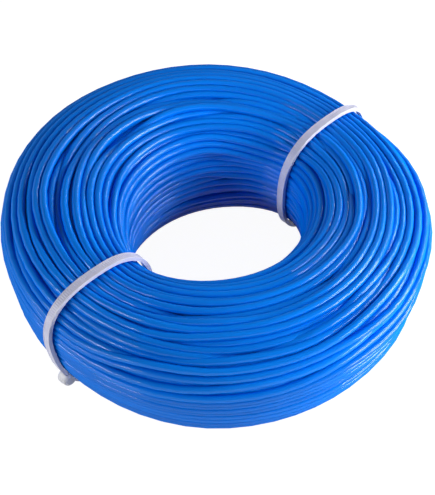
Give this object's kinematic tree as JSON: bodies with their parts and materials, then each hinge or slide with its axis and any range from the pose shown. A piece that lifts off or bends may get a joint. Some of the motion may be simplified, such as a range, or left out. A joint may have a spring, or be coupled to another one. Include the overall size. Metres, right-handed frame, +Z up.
{
  "type": "fishing line hank",
  "caption": "Hand-sized hank of thick blue monofilament fishing line, wound in a ring without a spool and held by nylon cable ties.",
  "frame": {"origin": "on the floor, in the middle of the hank's eye", "axes": "+Z up along the axis of the eye; +Y away from the picture's camera, +X to its right"},
  "size_m": [0.1136, 0.1136, 0.0413],
  "materials": {
    "line": "glossy, slightly translucent nylon monofilament",
    "tie": "natural translucent nylon"
  },
  "bodies": {
    "coil": {"line_coil": "line"},
    "front_tie": {"front_tie_strap": "tie", "front_tie_head": "tie"},
    "front_pawl": {"front_tie_pawl": "tie"},
    "rear_tie": {"rear_tie_strap": "tie", "rear_tie_head": "tie"},
    "rear_pawl": {"rear_tie_pawl": "tie"}
  },
  "joints": [
    {"name": "front_tie_shift", "type": "hinge", "parent": "coil", "child": "front_tie", "pos_m": [0, 0, 0], "axis": [0, 0, 1], "range_deg": [-3, 3]},
    {"name": "front_pawl_flex", "type": "hinge", "parent": "front_tie", "child": "front_pawl", "pos_m": [-0.03819, -0.03688, 0.00873], "axis": [-0.6947, 0.7193, 0], "range_deg": [0, 12], "stiffness_Nm_per_rad": 0.005},
    {"name": "rear_tie_shift", "type": "hinge", "parent": "coil", "child": "rear_tie", "pos_m": [0, 0, 0], "axis": [0, 0, 1], "range_deg": [-3, 3]},
    {"name": "rear_pawl_flex", "type": "hinge", "parent": "rear_tie", "child": "rear_pawl", "pos_m": [0.03818, 0.03687, 0.00795], "axis": [0.6947, -0.7193, 0], "range_deg": [0, 12], "stiffness_Nm_per_rad": 0.005}
  ]
}
